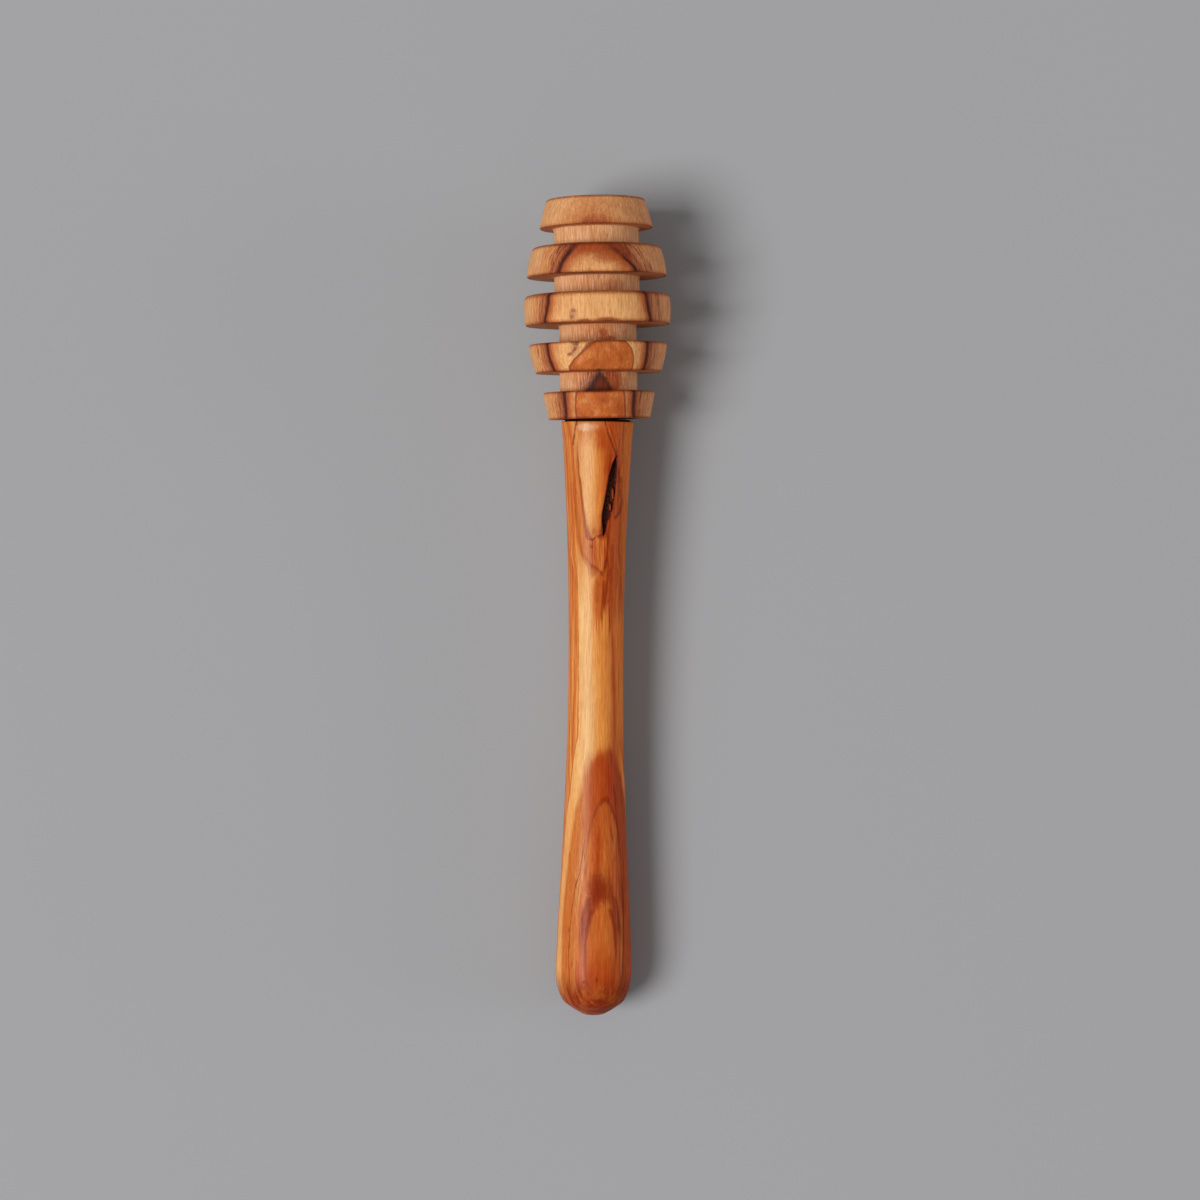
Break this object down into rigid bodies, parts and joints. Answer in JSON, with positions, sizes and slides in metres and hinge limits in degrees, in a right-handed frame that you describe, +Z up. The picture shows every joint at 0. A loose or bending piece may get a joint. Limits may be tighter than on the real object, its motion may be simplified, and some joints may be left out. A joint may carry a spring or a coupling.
{
  "type": "honey dipper",
  "caption": "Wooden honey dipper: a turned, ribbed head glued on the round tenon of a slender turned handle, lying on its side.",
  "frame": {"origin": "on the table, under the middle of the lying dipper", "axes": "+Y along the handle towards the free end of the head, +Z up from the table, +X to the right seen from above with the head away from the viewer"},
  "size_m": [0.0286, 0.1602, 0.0287],
  "materials": {
    "olive_wood_head": "sanded, matte",
    "olive_wood_handle": "oiled, satin",
    "wood_glue": "cured, dull"
  },
  "bodies": {
    "root": {"dipper_head": "olive_wood_head", "handle": "olive_wood_handle", "glue_film": "wood_glue"}
  },
  "joints": []
}
